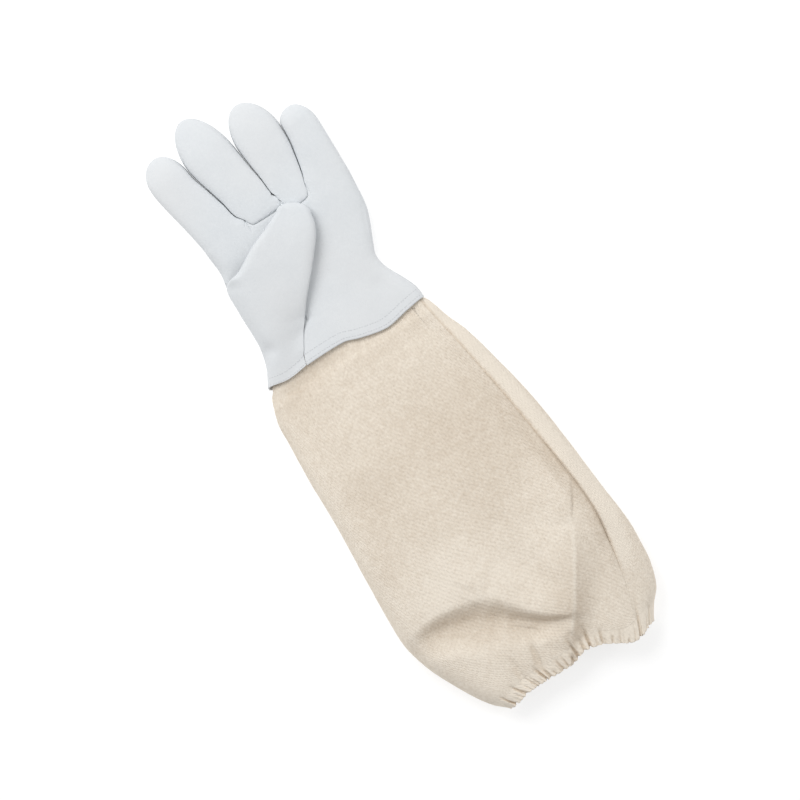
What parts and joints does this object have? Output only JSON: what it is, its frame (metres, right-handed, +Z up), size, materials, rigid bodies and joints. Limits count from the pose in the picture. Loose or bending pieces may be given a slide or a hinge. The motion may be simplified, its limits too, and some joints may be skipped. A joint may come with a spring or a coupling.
{
  "type": "beekeeping glove",
  "caption": "Left-hand beekeeping glove lying palm up: pale leather hand with folded thumb, long cream canvas sleeve and a gathered elastic cuff.",
  "frame": {"origin": "Centre of the box's underside, on the surface that the glove lies on", "axes": "+Y to the fingertips, +X to the little finger's side, +Z up out of the palm"},
  "size_m": [0.1894, 0.5051, 0.0355],
  "materials": {
    "glove_leather": "matte",
    "sleeve_canvas": "matte",
    "cuff_canvas": "matte"
  },
  "bodies": {
    "root": {"leather_back": "glove_leather", "leather_palm": "glove_leather", "middle_finger_front": "glove_leather", "ring_finger_front": "glove_leather", "thumb_front": "glove_leather", "thumb_underside": "glove_leather", "canvas_sleeve": "sleeve_canvas", "elastic_cuff": "cuff_canvas"}
  },
  "joints": []
}
